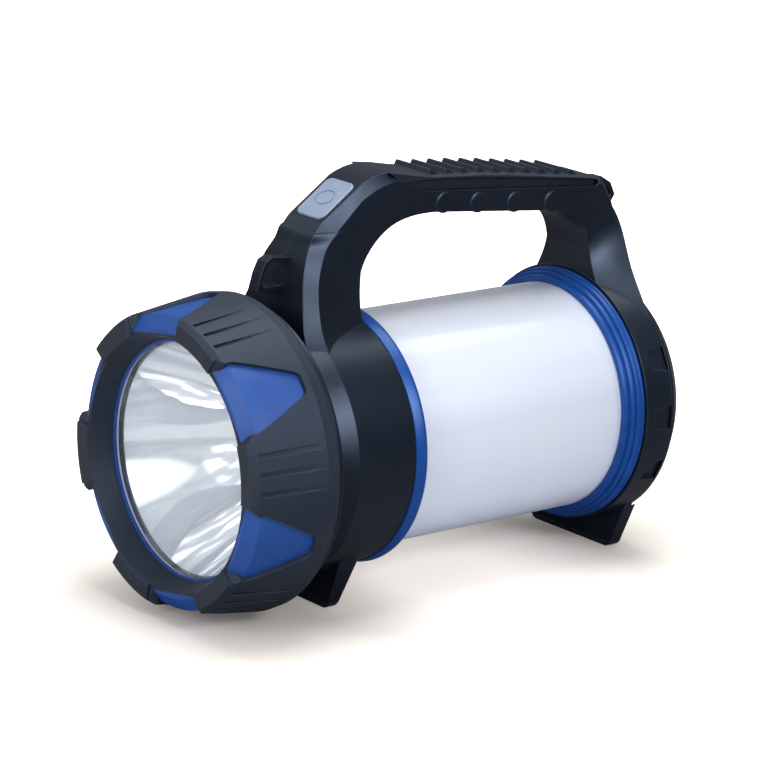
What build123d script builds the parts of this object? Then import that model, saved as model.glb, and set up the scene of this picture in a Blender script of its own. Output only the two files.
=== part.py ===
from build123d import *
import math
import os

os.makedirs("parts", exist_ok=True)

# Camping lamp: a spotlight in front, a lantern tube behind it and a carrying handle on top.
# Each piece is drawn on the lamp's own axis, which runs along Y from the front rim to the
# back cap, and is moved onto the ground when it is written: beam to -Y, up is +Z.

# Clearances and fits shared by all pieces.
running_gap = 0.07
seat_gap = 0.05
air_gap = 0.35
overrun = 3.0
half_turn = 180.0
full_turn = 360.0

# Lamp frame against the ground.
axis_height = 68.2
rim_front = -2.1
cap_back = 243.4
middle_along = (rim_front + cap_back) / 2

# Threaded barrel of the head frame; the bezel, lens and reflector take their radii from it.
barrel_radius = 59.9
barrel_wall = 2.8
barrel_back = 41.4
lip_radius = barrel_radius + 3.8
lip_thickness = 2.0
neck_radius = 47.2
neck_wall = 2.4
neck_back = 60.0
washer_bore = barrel_radius + 0.9
washer_radius = barrel_radius + 3.1


def off_barrel(points):
    """Turned outline given as (along, height above the barrel)."""
    return tuple((along, barrel_radius + rise) for along, rise in points)


# Bezel: six black lugs with six blue windows between them.
lug_count = 6
lug_turn = 9.5
bezel_outer = off_barrel(((-2.1, 1.9), (0.6, 3.5), (33.0, 7.9), (38.0, 7.3), (40.6, 5.1)))
bezel_rim = off_barrel(((8.7, -9.2), (-0.7, -5.7), (-1.7, -5.3), (-2.1, -4.5)))
bezel_back = 40.6
bezel_back_bore = barrel_radius + 0.7
blue_outer = off_barrel(((-0.6, -3.3), (3.5, 2.1), (30.0, 5.4), (38.6, 5.4)))
blue_front_bore = barrel_radius - 5.55
blue_lip_front = 8.7
blue_lip_bore = barrel_radius - 10.1
funnel_wall = 1.5
window_outline = (
    (-17.5, -4.0), (-17.5, -1.9), (-14.5, 1.6), (-14.5, 5.0), (-4.4, 29.0), (-3.0, 30.4),
    (3.0, 30.4), (4.4, 29.0), (14.5, 5.0), (14.5, 1.6), (17.5, -1.9), (17.5, -4.0),
)
window_rim_along = -0.7
window_low = blue_front_bore
window_high = barrel_radius + 18.0
lug_groove_pitch = 7.1
lug_grooves_each = 3
groove_front = 1.8
groove_back = 33.0
groove_width = 2.0
groove_depth = 1.5

# Lens, gasket and reflector, stacked behind the bezel's lip.
gasket_thickness = 1.2
lens_thickness = 2.0
lens_radius = barrel_radius - 6.3
reflector_flange = 1.6
reflector_flange_radius = barrel_radius - 1.5
reflector_mouth = barrel_radius - 10.7
reflector_depth = 55.0
reflector_wall = 1.4
emitter_hole = 8.5
reflector_steps = 7

# Housing: front collar, back collar, feet and handle.
wall = 3.0
front_collar = ((44.4, 49.6), (45.4, 52.0), (58.0, 56.2), (88.5, 55.2))
front_collar_bore = 52.2
back_collar_radius = 57.8
back_collar_front = 216.8
seam_along = 231.4
back_collar_bore = 53.2
seal_bore = 55.0
seal_depth = 1.6
notch_angles = (-26.2, 0.0, 26.2)
notch_depth = 1.6
notch_front = 222.0
notch_half_front = 4.0
notch_half_back = 5.8

foot_half_bottom = 26.0
foot_bottom = -68.2
foot_round = 4.6
pad_height = 2.0
front_foot_side = ((67.3, -68.2), (72.0, -68.2), (77.0, -48.0), (77.0, -40.0), (67.8, -40.0))
front_foot_half_top = 34.5
back_foot_side = ((227.8, -68.2), (233.7, -68.2), (233.7, -40.0), (227.0, -40.0))
back_foot_half_top = 38.5
foot_top = -40.0
foot_clear_radius = 58.5

# Handle: side outlines in (along, up) points, the full one and the one its slanted edges end on.
face_half = 11.0
front_inner = ((128.9, 94.9), (113.7, 94.4), (104.0, 91.5), (96.1, 85.8), (91.3, 79.8), (88.1, 72.0),
               (87.9, 63.8), (89.0, 56.0), (91.0, 44.0))
rear_inner = ((217.0, 44.0), (217.2, 58.0), (216.9, 68.4), (212.2, 80.2), (203.0, 86.6), (188.5, 89.0))
full_lead = ((58.6, 44.0), (59.3, 56.0), (60.0, 66.0), (60.3, 75.6), (62.3, 86.5), (65.3, 92.0), (69.0, 96.2))
full_crown = ((89.5, 110.6), (96.0, 113.0), (103.0, 114.1))
full_bend = ((103.0, 114.1), (108.4, 110.1), (116.3, 106.5), (125.2, 104.4))
full_ledge = ((125.2, 104.4), (156.1, 101.9), (219.0, 96.6), (222.5, 100.0), (225.6, 98.4))
full_tail = ((225.6, 98.4), (230.2, 90.6), (233.6, 83.0), (235.2, 76.0), (234.2, 68.0), (231.8, 60.4),
             (231.2, 53.0))
side_lead = ((65.0, 44.0), (65.5, 56.0), (66.1, 66.5), (66.2, 75.5), (68.8, 84.1), (71.3, 88.2), (74.5, 91.6))
side_crown = ((87.5, 103.9), (95.0, 107.7), (107.2, 110.9))
side_bend = ((107.2, 110.9), (110.6, 108.9), (117.0, 106.2), (125.2, 104.4))
side_ledge = ((125.2, 104.4), (156.1, 101.9), (219.0, 96.6), (221.4, 98.0), (223.6, 96.4))
side_tail = ((223.6, 96.4), (227.9, 89.6), (231.2, 82.4), (232.8, 76.0), (232.0, 68.6), (230.4, 60.8),
             (230.0, 53.0))
tail_foot = (231.2, 44.0)
ring_clear = 57.2

# Spreading feet of the handle: up, then (half width, along) at the front, the strip and the back.
front_spread = (
    (93.0, (10.6, 66.7), (13.6, 76.4), (13.6, 92.0)),
    (88.0, (11.6, 62.8), (14.5, 70.9), (14.0, 90.0)),
    (84.0, (12.5, 60.7), (15.4, 67.6), (14.1, 89.4)),
    (80.0, (13.9, 58.7), (16.8, 65.2), (14.3, 88.8)),
    (74.0, (15.4, 56.8), (18.6, 62.6), (14.6, 88.0)),
    (64.0, (18.8, 54.5), (22.0, 60.3), (15.2, 87.4)),
    (56.0, (21.8, 52.7), (25.5, 59.2), (16.5, 87.4)),
    (48.0, (26.0, 51.8), (30.5, 58.9), (18.5, 87.6)),
    (40.0, (33.5, 50.6), (38.4, 58.4), (22.0, 88.0)),
    (30.0, (40.5, 49.6), (45.2, 58.0), (28.0, 88.4)),
)
rear_spread = (
    (88.0, (12.0, 209.0), (11.4, 230.0)),
    (84.0, (13.2, 213.0), (12.6, 232.6)),
    (76.0, (13.6, 216.2), (15.0, 235.2)),
    (68.0, (14.4, 217.0), (20.0, 234.2)),
    (60.4, (16.8, 217.0), (26.6, 231.8)),
    (53.0, (20.5, 217.0), (31.9, 231.4)),
    (46.0, (24.0, 217.0), (36.6, 231.4)),
    (40.0, (26.0, 217.0), (41.5, 231.4)),
)

# Hollow of the front leg, where the switch and its board sit.
leg_hollow = ((66.5, 46.0), (67.5, 72.0), (72.5, 86.0), (84.0, 95.5), (96.0, 103.2), (108.0, 104.5),
              (109.0, 99.5), (100.0, 95.6), (91.0, 88.5), (84.5, 77.0), (83.6, 62.0), (84.5, 46.0))
leg_hollow_half = 9.6

# Finger bumps under the grip.
bump_along = (132.5, 151.6, 172.4, 193.8)
bump_radius = 4.6
bump_rise = 4.0
bump_half = 14.6
bump_round = 0.9
grip_half = 14.0
grip_under = ((128.9, 94.9), (188.5, 89.0))

# Ribbed grip insert: a narrow lower band, a wide saddle and cross ribs on top.
insert_lower_half = 11.4
insert_mid = ((108.4, 110.1), (111.3, 109.4), (118.0, 109.7), (126.0, 109.5), (135.7, 108.9), (155.7, 107.3),
              (212.6, 100.7), (221.6, 99.4))
insert_top = ((103.0, 114.1), (112.0, 113.5), (120.0, 112.0), (126.5, 111.0), (152.9, 109.2), (170.8, 107.3),
              (188.3, 105.0), (206.2, 102.7), (213.0, 101.9), (218.0, 101.0),
              (221.6, 100.3))
insert_edge_in = 2.2
insert_edge_down = 0.8
rib_count = 10
rib_first = 124.9
rib_pitch = 8.8
rib_length = 6.2
rib_height = 2.0
rib_half = 11.6

# Strap loops.
loop_half = 3.0
front_loop_outer = ((42.3, 68.5), (44.3, 75.5), (46.9, 80.8), (50.0, 82.1), (66.0, 80.6), (63.4, 66.2),
                    (47.0, 66.6))
front_loop_hole = ((44.9, 71.4), (46.2, 75.2), (47.6, 78.3), (49.6, 80.3), (59.4, 78.8), (58.4, 69.8),
                   (46.4, 69.6))
rear_loop_outer = ((221.5, 98.6), (232.3, 97.6), (238.1, 94.2), (240.9, 88.6), (238.5, 84.9), (227.1, 83.6))
rear_loop_hole = ((228.0, 95.6), (232.2, 95.3), (236.4, 92.9), (238.6, 88.9), (237.4, 87.1), (231.0, 86.2))

# Lantern: blue rings, diffuser tube and the column inside it.
diffuser_radius = 50.66
diffuser_wall = 2.2
diffuser_front = 91.0
diffuser_back = 210.6
front_ring_front = 88.5
front_ring_profile = ((88.5, 55.6), (92.6, 56.6), (93.9, 56.2), (94.4, 52.8), (95.4, 52.4), (95.4, 50.75))
back_ring_profile = ((207.7, 50.75), (207.7, 53.4), (209.9, 53.8), (210.1, 54.9), (212.3, 55.3),
                     (212.5, 56.3), (216.2, 56.7), (216.8, 56.3))
ring_bore = 46.4
core_flat = 39.2
core_bore = 36.6
core_front = 88.6
core_back = 212.8
strip_count = 6
strip_width = 11.0
strip_thickness = 1.2
strip_front = 98.0
strip_back = 204.0
chip_count = 9
chip_size = 3.4
chip_thickness = 0.9
bulkhead_thickness = 3.4
front_bulkhead_front = 85.1
back_bulkhead_front = 212.8
back_bulkhead_thickness = 3.6
wire_hole = 5.0

# Spotlight emitter on its board and heat sink.
emitter_front = 57.6
emitter_radius = 5.4
dome_radius = 3.6
board_thickness = 1.6
lamp_board_radius = 16.0
sink_radius = 30.0
sink_plate = 3.0
sink_back = 85.1
fin_count = 7
fin_thickness = 1.8
fin_pitch = 7.4

# Battery carrier with three large cells.
cell_count = 3
cell_radius = 16.3
cell_length = 58.0
cell_nub_radius = 4.6
cell_nub = 1.5
cell_ring_radius = 19.3
cell_front = 152.6
carrier_radius = 36.2
carrier_plate = 2.4
carrier_arm = 2.4
carrier_arm_length = 12.0
contact_radius = 6.4
contact_thickness = 0.6

# End cap: flange, skirt and domed back.
cap_outer = ((231.9, 57.6), (233.4, 57.4), (241.6, 50.0), (242.6, 46.0), (243.2, 36.0), (243.4, 20.0))
cap_flange_front = 231.9
cap_skirt_radius = back_collar_bore - running_gap
cap_skirt_front = 220.6
cap_skirt_wall = 2.6
cap_floor = 238.6
cap_floor_radius = 44.6
cap_corner = 235.0
cap_grip_count = 3
cap_grip_radius = 15.0
cap_grip_depth = 1.6
cap_contact_radius = 34.0
cap_spring_radius = 6.0
cap_spring_wire = 0.6

# Button, switch and board in the handle's front.
button_width = 18.0
button_length = 22.4
button_corner = 3.4
button_round = 0.8
button_proud = 0.7
button_low = (69.9, 97.6)
button_high = (87.6, 110.2)
button_depth = 4.4
button_flange = 1.0
button_flange_thickness = 1.0
button_travel = 1.2
button_mark_half = (5.4, 4.4)
button_mark_depth = 0.35
button_mark_width = 0.8
button_stem = 2.2
panel_wall = 2.4
switch_size = 6.2
switch_height = 3.4
switch_plunger = 1.7
board_width = 2 * leg_hollow_half
board_length = 24.0

# Case screws, put in from the far side.
screw_places = ((78.5, 66.0), (119.0, 99.0), (204.5, 92.4), (224.6, 78.0))
screw_head_radius = 2.9
screw_head = 2.0
screw_shank_radius = 1.4
screw_shank = 14.0
screw_sink_half = 11.5
screw_socket = 1.5
screw_socket_depth = 1.1


def turned(points):
    """Solid turned about the lamp's axis from (along, radius) points."""
    outline = Polyline(*[(radius, along) for along, radius in points], close=True)
    return revolve(make_face(outline), axis=Axis.Y)


def tube(front, back, outer, inner):
    """Plain ring or tube on the lamp's axis."""
    return turned(((front, inner), (front, outer), (back, outer), (back, inner)))


def disc(front, back, radius):
    """Plain round plate on the lamp's axis."""
    return turned(((front, 0), (front, radius), (back, radius), (back, 0)))


def side_slab(points, half):
    """Side outline in (along, up) points, as thick as half on both sides of the middle plane."""
    return extrude(Plane.YZ * make_face(Polyline(*points, close=True)), amount=half, both=True)


def about_axis(shape, angle):
    """Shape drawn at +X, turned to an angle measured from +X towards +Z."""
    return Rotation(0, -angle, 0) * shape


def radial_wedge(outline, low, high):
    """Solid between two radii whose outline is (angle, along) points round the +X direction."""
    wires = []
    for radius in (low, high):
        corners = [(radius, along, radius * math.tan(math.radians(angle))) for angle, along in outline]
        wires.append(Wire.make_polygon(corners, close=True))
    return Solid.make_loft(wires, ruled=True)


def cut_all(shape, tools):
    """Shape with every tool taken away."""
    for tool in tools:
        shape = shape - tool
    return shape


def join_all(shapes):
    """One solid out of touching or crossing shapes."""
    joined = shapes[0]
    for shape in shapes[1:]:
        joined = joined + shape
    return joined


def outline_at(points, along):
    """Radius or height of an outline at one place along the axis."""
    for (start, low), (end, high) in zip(points, points[1:]):
        if start <= along <= end:
            return low + (high - low) * (along - start) / (end - start)
    return points[-1][1]


def line_height(line, along):
    """Height of a straight side line at one place along the axis."""
    (start, low), (end, high) = line
    return low + (high - low) * (along - start) / (end - start)


def window_angles():
    """Middle angle of every window."""
    step = full_turn / lug_count
    return [lug_turn + step * (index + 0.5) for index in range(lug_count)]


def lug_angles():
    """Middle angle of every lug."""
    step = full_turn / lug_count
    return [lug_turn + step * index for index in range(lug_count)]


def make_bezel_overmould():
    """Black cover of the bezel, with six windows and three grooves on each lug."""
    inner = list(blue_outer)
    backing = [(-0.6, blue_front_bore), (blue_lip_front, bezel_rim[0][1] + funnel_wall)]
    points = list(bezel_rim) + list(bezel_outer)
    points += [(bezel_back, bezel_back_bore), (inner[-1][0], bezel_back_bore), inner[-1]]
    points += inner[-2::-1]
    points += backing
    cover = turned(points)
    window = radial_wedge(window_outline, window_low, window_high)
    start, end = window_outline[0], window_outline[-1]
    rim_outline = [start, (start[0], window_rim_along), (end[0], window_rim_along), end]
    rim = radial_wedge(rim_outline, bezel_rim[0][1] - overrun, window_high)
    cover = cut_all(cover, [about_axis(window, angle) for angle in window_angles()])
    cover = cut_all(cover, [about_axis(rim, angle) for angle in window_angles()])
    return cut_all(cover, lug_groove_tools())


def lug_groove_tools():
    """Slots that are deep in front and run out towards the back."""
    low = outline_at(bezel_outer, groove_front) - groove_depth
    high = outline_at(bezel_outer, groove_back)
    length = groove_back - groove_front
    slope = math.atan2(high - low, length)
    floor = Plane(origin=(low, groove_front, 0), x_dir=(math.sin(slope), math.cos(slope), 0),
                  z_dir=(math.cos(slope), -math.sin(slope), 0))
    slot = floor * Location((length / 2, 0)) * SlotOverall(length, groove_width)
    tool = extrude(slot, amount=groove_depth + overrun)
    tools = []
    middle = (lug_grooves_each - 1) / 2
    for angle in lug_angles():
        for index in range(lug_grooves_each):
            tools.append(about_axis(tool, angle + lug_groove_pitch * (index - middle)))
    return tools


def make_bezel_inner():
    """Blue bezel ring: windows' ground, lens lip and the bore that turns on the barrel."""
    lip_back = blue_lip_front + funnel_wall
    lens_back = lip_back + gasket_thickness + lens_thickness
    bore = barrel_radius + running_gap
    points = [(-0.6, blue_front_bore)] + list(blue_outer)
    points += [(blue_outer[-1][0], bore), (lens_back, bore), (lens_back, lens_radius + air_gap)]
    points += [(lip_back, lens_radius + air_gap), (lip_back, blue_lip_bore), (blue_lip_front, blue_lip_bore)]
    points += [(blue_lip_front, bezel_rim[0][1] + funnel_wall)]
    return turned(points)


def make_lens_gasket():
    """Soft ring between the lip and the lens."""
    front = blue_lip_front + funnel_wall
    return tube(front, front + gasket_thickness, lens_radius, blue_lip_bore + air_gap)


def make_lens():
    """Clear flat disc."""
    front = blue_lip_front + funnel_wall + gasket_thickness
    return disc(front, front + lens_thickness, lens_radius)


def reflector_front():
    """Where the reflector's flange starts along the axis."""
    return blue_lip_front + funnel_wall + gasket_thickness + lens_thickness


def make_reflector():
    """Deep bright bowl with a flat flange in front and a hole for the emitter."""
    front = reflector_front()
    apex = front + reflector_depth
    focus = reflector_mouth ** 2 / (4 * reflector_depth)
    hole_along = apex - emitter_hole ** 2 / (4 * focus)
    inner = []
    for index in range(reflector_steps + 1):
        share = index / reflector_steps
        radius = reflector_mouth + (emitter_hole - reflector_mouth) * share
        inner.append((radius, apex - radius ** 2 / (4 * focus)))
    outer = [(radius + reflector_wall, along) for radius, along in inner]
    mouth_along = front + reflector_flange
    outer[0] = (profile_at(outer, mouth_along), mouth_along)
    outer = [outer[0]] + [point for point in outer[1:] if point[1] > mouth_along]
    outline = Curve() + [
        Spline(*inner),
        Line(inner[-1], (outer[-1][0], hole_along)),
        Spline(*reversed(outer)),
        Polyline(outer[0], (reflector_flange_radius, mouth_along), (reflector_flange_radius, front), inner[0]),
    ]
    return revolve(make_face(outline), axis=Axis.Y)


def profile_at(points, along):
    """Radius at one place along a (radius, along) curve."""
    for (wide, start), (narrow, end) in zip(points, points[1:]):
        if start <= along <= end:
            return wide + (narrow - wide) * (along - start) / (end - start)
    return points[0][0]


def make_head_frame():
    """Barrel that carries the bezel, thin lip behind it and the neck into the front collar."""
    front = reflector_front() + reflector_flange
    lip_back = barrel_back + lip_thickness
    inner = barrel_radius - barrel_wall
    points = (
        (front, inner), (front, barrel_radius), (barrel_back, barrel_radius), (barrel_back, lip_radius),
        (lip_back, lip_radius), (lip_back, neck_radius), (neck_back, neck_radius),
        (neck_back, neck_radius - neck_wall),
        (barrel_back, neck_radius - neck_wall), (barrel_back - barrel_wall, inner),
    )
    return turned(points)


def make_bezel_washer():
    """Thin slip washer behind the bezel."""
    return tube(bezel_back, barrel_back - seat_gap, washer_radius, washer_bore)


def front_room():
    """Space inside the front collar: the neck's seat and the wider bore behind it."""
    neck_bore = neck_radius + seat_gap
    back = front_collar[-1][0]
    return turned((
        (front_collar[0][0] - overrun, 0), (front_collar[0][0] - overrun, neck_bore), (neck_back, neck_bore),
        (neck_back + wall, front_collar_bore), (back, front_collar_bore), (back, 0),
    ))


def collar_rings():
    """Front and back collars of the housing."""
    front_points = list(front_collar) + [(front_collar[-1][0], 0), (front_collar[0][0], 0)]
    back_points = (
        (back_collar_front, back_collar_bore), (back_collar_front, back_collar_radius),
        (seam_along, back_collar_radius), (seam_along, seal_bore), (seam_along - seal_depth, seal_bore),
        (seam_along - seal_depth, back_collar_bore),
    )
    return turned(front_points) - front_room(), turned(back_points)


def notch_tools():
    """Shallow pockets on both sides of the back collar, open at the seam."""
    front_half = notch_half_front
    back_half = notch_half_back
    outline = ((-front_half, notch_front), (front_half, notch_front), (back_half, seam_along + overrun),
               (-back_half, seam_along + overrun))
    tool = radial_wedge(outline, back_collar_radius - notch_depth, back_collar_radius + overrun)
    angles = list(notch_angles) + [half_turn - angle for angle in notch_angles]
    return [about_axis(tool, angle) for angle in angles]


def handle_edges(lead, crown, bend, ledge, tail):
    """Closed side outline of the handle, from the front collar over the grip and back underneath."""
    curves = [
        Spline(*lead),
        Line(lead[-1], crown[0]),
        Spline(*crown),
        Spline(*bend),
        Polyline(*ledge),
        Spline(*tail),
        Polyline(tail[-1], tail_foot, rear_inner[0]),
        Spline(*rear_inner),
        Line(rear_inner[-1], front_inner[0]),
        Spline(*front_inner),
        Line(front_inner[-1], lead[0]),
    ]
    return [edge for curve in curves for edge in curve.edges()]


def handle_outline(half):
    """The handle's side outline as a wire, at one distance from the middle plane."""
    if abs(half) > face_half:
        edges = handle_edges(side_lead, side_crown, side_bend, side_ledge, side_tail)
    else:
        edges = handle_edges(full_lead, full_crown, full_bend, full_ledge, full_tail)
    return Plane.YZ.offset(half) * Wire(edges)


def handle_slab(half):
    """The handle's full side outline as a plain slab."""
    return extrude(make_face(handle_outline(0)), amount=half, both=True, dir=(1, 0, 0))


def handle_bar():
    """Handle loop with slanted outer edges."""
    places = (-grip_half, -face_half, face_half, grip_half)
    return Solid.make_loft([handle_outline(place) for place in places], ruled=True)


def spread_foot(sections):
    """Smooth spreading foot of a handle leg through its level cross-sections."""
    wires = []
    for up, *corners in sections:
        right = [(half, along, up) for half, along in corners]
        left = [(-half, along, up) for half, along in reversed(corners)]
        wires.append(Wire.make_polygon(right + left, close=True))
    return Solid.make_loft(wires)


def foot_plate(side, half_top):
    """Cross plate that stands on the ground, wider at the top, with rounded lower corners."""
    outline = make_face(Polyline((-foot_half_bottom, foot_bottom), (foot_half_bottom, foot_bottom),
                                 (half_top, foot_top), (-half_top, foot_top), close=True))
    outline = fillet(outline.vertices().group_by(Axis.Y)[0], radius=foot_round)
    back = max(along for along, up in side)
    front = min(along for along, up in side)
    plate = Location((0, back, 0)) * extrude(Plane.XZ * outline, amount=back - front)
    return plate & side_slab(side, half_top)


def foot(side, half_top):
    """Foot above its rubber strip."""
    low = Plane.XY.offset(foot_bottom + pad_height)
    return split(foot_plate(side, half_top), bisect_by=low, keep=Keep.TOP)


def finger_bumps():
    """Four rounded swellings under the grip."""
    bumps = []
    for along in bump_along:
        up = line_height(grip_under, along) + bump_rise
        bump = Location((0, along, up)) * Rotation(0, 90, 0) * Cylinder(bump_radius, bump_half * 2)
        bumps.append(fillet(bump.edges().filter_by(GeomType.CIRCLE), radius=bump_round))
    return bumps


def button_plane():
    """Plane of the button's top, normal out of the panel, local y up along the handle."""
    rise = (0, button_high[0] - button_low[0], button_high[1] - button_low[1])
    middle = (0, (button_low[0] + button_high[0]) / 2, (button_low[1] + button_high[1]) / 2)
    normal = (0, -rise[2], rise[1])
    return Plane(origin=middle, x_dir=(1, 0, 0), z_dir=normal)


def button_block(grow, top, bottom):
    """Rounded block of the button's outline, grown all round, between two depths below its top."""
    outline = RectangleRounded(button_width + 2 * grow, button_length + 2 * grow, button_corner + grow)
    return extrude(button_plane().offset(-bottom) * outline, amount=bottom - top)


def button_pocket():
    """Opening in the panel, wider below it for the button's flange."""
    panel_depth = button_proud
    through = button_block(air_gap, -overrun, button_depth + button_travel + overrun)
    flange_top = panel_depth + panel_wall
    below = button_block(button_flange + air_gap, flange_top, flange_top + button_depth + overrun)
    return through, below


def screw_tools():
    """Head pockets and shank holes, from the far side."""
    tools = []
    for along, up in screw_places:
        pocket_length = back_collar_radius - screw_sink_half
        pocket = Location((-screw_sink_half - pocket_length / 2, along, up)) * Rotation(0, 90, 0)
        tools.append(pocket * Cylinder(screw_head_radius + air_gap, pocket_length))
        shank = Location((-screw_sink_half + screw_shank / 2, along, up)) * Rotation(0, 90, 0)
        tools.append(shank * Cylinder(screw_shank_radius + seat_gap, screw_shank + seat_gap))
    return tools


def housing_block():
    """The whole housing before it is split down the middle."""
    front_ring, back_ring = collar_rings()
    upper = join_all([handle_bar(), spread_foot(front_spread), spread_foot(rear_spread)] + finger_bumps())
    cap_room = disc(seam_along, cap_back + overrun, foot_clear_radius)
    upper = cut_all(upper, [
        front_room(),
        disc(front_collar[-1][0], back_collar_front, ring_clear),
        disc(back_collar_front - overrun, seam_along, back_collar_bore),
        disc(seam_along - seal_depth, seam_along + overrun, seal_bore),
        cap_room,
    ])
    front_foot = foot(front_foot_side, front_foot_half_top) - front_room()
    back_foot = foot(back_foot_side, back_foot_half_top)
    back_foot = back_foot - disc(back_collar_front, seam_along + overrun, seal_bore) - cap_room
    block = join_all([front_ring, back_ring, front_foot, back_foot])
    block = block + upper
    through, below = button_pocket()
    block = cut_all(block, [side_slab(leg_hollow, leg_hollow_half), through, below])
    return cut_all(block, notch_tools() + screw_tools())


def housing_half(block, side):
    """One half of the housing; side is 1 for +X and -1 for -X."""
    reach = 4 * axis_height
    room = Box(reach, reach * 2, reach * 2)
    return block & (Location((side * reach / 2, middle_along, 0)) * room)


def make_foot_pads():
    """Rubber strips under both feet."""
    low = Plane.XY.offset(foot_bottom + pad_height)
    front = split(foot_plate(front_foot_side, front_foot_half_top), bisect_by=low, keep=Keep.BOTTOM)
    back = split(foot_plate(back_foot_side, back_foot_half_top), bisect_by=low, keep=Keep.BOTTOM)
    return Compound([front, back])


def make_grip_insert():
    """Rubber saddle on the grip with ten cross ribs."""
    lower_points = list(insert_mid) + [full_ledge[2], grip_under[1], grip_under[0]]
    lower = side_slab(lower_points, insert_lower_half)
    saddle = side_slab(list(insert_mid) + list(reversed(insert_top)), grip_half)
    for side in (-1, 1):
        flat = saddle.faces().sort_by(Axis.X)[0 if side < 0 else -1]
        edges = [edge for edge in saddle.edges() if is_saddle_edge(edge, side)]
        saddle = saddle.chamfer(insert_edge_down, insert_edge_in, edges, face=flat)
    shapes = [lower, saddle] + [rib(index) for index in range(rib_count)]
    return join_all(shapes) - handle_bar()


def is_saddle_edge(edge, side):
    """Whether an edge is one of the saddle's long upper edges on one side."""
    place = edge.center()
    on_side = abs(place.X - side * grip_half) < seat_gap
    lifted = place.Z > outline_at(insert_top, place.Y) - seat_gap
    return on_side and lifted and place.Y > insert_top[1][0]


def rib(index):
    """One saw-tooth rib: steep in front, sloping down to the back."""
    start = rib_first + rib_pitch * index
    front_base = outline_at(insert_top, start) - seat_gap
    back_base = outline_at(insert_top, start + rib_length) - seat_gap
    points = ((start, front_base), (start + rib_height / 2, front_base + rib_height),
              (start + rib_height, front_base + rib_height), (start + rib_length, back_base))
    return side_slab(points, rib_half)


def make_loop(outer, hole):
    """Flat moulded eye for a strap, cut back to the handle's skin."""
    eye = side_slab(outer, loop_half) - side_slab(hole, loop_half + overrun)
    return cut_all(eye, [handle_slab(grip_half), spread_foot(front_spread)])


def make_front_ring():
    """Blue ring between the front collar and the diffuser."""
    points = list(front_ring_profile)
    points += [(diffuser_front, diffuser_radius + running_gap), (diffuser_front, ring_bore),
               (front_ring_front, ring_bore)]
    return turned(points)


def make_back_ring():
    """Stepped blue ring between the diffuser and the back collar."""
    points = list(back_ring_profile) + [(back_collar_front, ring_bore), (diffuser_back, ring_bore),
                                        (diffuser_back, diffuser_radius + running_gap)]
    return turned(points)


def make_diffuser():
    """Milky tube."""
    return tube(diffuser_front, diffuser_back, diffuser_radius, diffuser_radius - diffuser_wall)


def make_core_column():
    """Six-sided white column that carries the light strips and holds the carrier."""
    outline = RegularPolygon(core_flat, lug_count, major_radius=False)
    column = Location((0, core_back, 0)) * extrude(Plane.XZ * outline, amount=core_back - core_front)
    return column - disc(core_front - overrun, core_back + overrun, core_bore)


def strip_places():
    """Flat sides of the column, as angles."""
    step = full_turn / strip_count
    return [step * index + step / 2 for index in range(strip_count)]


def make_strip_boards():
    """Six light-strip boards."""
    length = strip_back - strip_front
    centre = (core_flat + strip_thickness / 2, strip_front + length / 2, 0)
    board = Location(centre) * Box(strip_thickness, length, strip_width)
    return Compound([about_axis(board, angle) for angle in strip_places()])


def make_strip_chips():
    """Row of small light chips on every strip."""
    chips = []
    spacing = (strip_back - strip_front) / chip_count
    for angle in strip_places():
        for index in range(chip_count):
            along = strip_front + spacing * (index + 0.5)
            centre = (core_flat + strip_thickness + chip_thickness / 2, along, 0)
            chips.append(about_axis(Location(centre) * Box(chip_thickness, chip_size, chip_size), angle))
    return Compound(chips)


def make_front_bulkhead():
    """Plate across the front collar, with a wire hole."""
    plate = disc(front_bulkhead_front, front_bulkhead_front + bulkhead_thickness, front_collar_bore - seat_gap)
    hole = Location((0, front_bulkhead_front, sink_radius + wire_hole)) * Rotation(90, 0, 0)
    return plate - hole * Cylinder(wire_hole, bulkhead_thickness * 4)


def make_back_bulkhead():
    """Plate behind the column, open for the battery carrier."""
    back = back_bulkhead_front + back_bulkhead_thickness
    return tube(back_bulkhead_front, back, ring_bore - seat_gap, carrier_radius + air_gap)


def make_emitter():
    """Square light emitter with a clear dome."""
    side = emitter_radius * 2
    base = Location((0, emitter_front + board_thickness / 2, 0)) * Box(side, board_thickness, side)
    dome = Location((0, emitter_front, 0)) * Sphere(dome_radius)
    room = Box(dome_radius * 3, dome_radius, dome_radius * 3)
    front_half = Location((0, emitter_front - dome_radius / 2, 0)) * room
    return base + (dome & front_half)


def make_lamp_board():
    """Round metal board under the emitter."""
    front = emitter_front + board_thickness
    boss = disc(front, sink_front(), emitter_radius)
    return boss + disc(sink_front() - board_thickness, sink_front(), lamp_board_radius)


def sink_front():
    """Front face of the heat sink, just behind the reflector."""
    return reflector_front() + reflector_depth + board_thickness * 2


def make_heat_sink():
    """Round plate with straight fins behind it."""
    front = sink_front()
    sink = disc(front, front + sink_plate, sink_radius)
    middle = (fin_count - 1) / 2
    length = sink_back - front - sink_plate
    for index in range(fin_count):
        offset = fin_pitch * (index - middle)
        half = math.sqrt(sink_radius ** 2 - offset ** 2) - fin_thickness
        centre = (offset, front + sink_plate + length / 2, 0)
        sink = sink + Location(centre) * Box(fin_thickness, length, half * 2)
    return sink


def cell_angles():
    """Angles of the cells round the axis."""
    step = full_turn / cell_count
    return [step * index + step / 4 for index in range(cell_count)]


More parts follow.
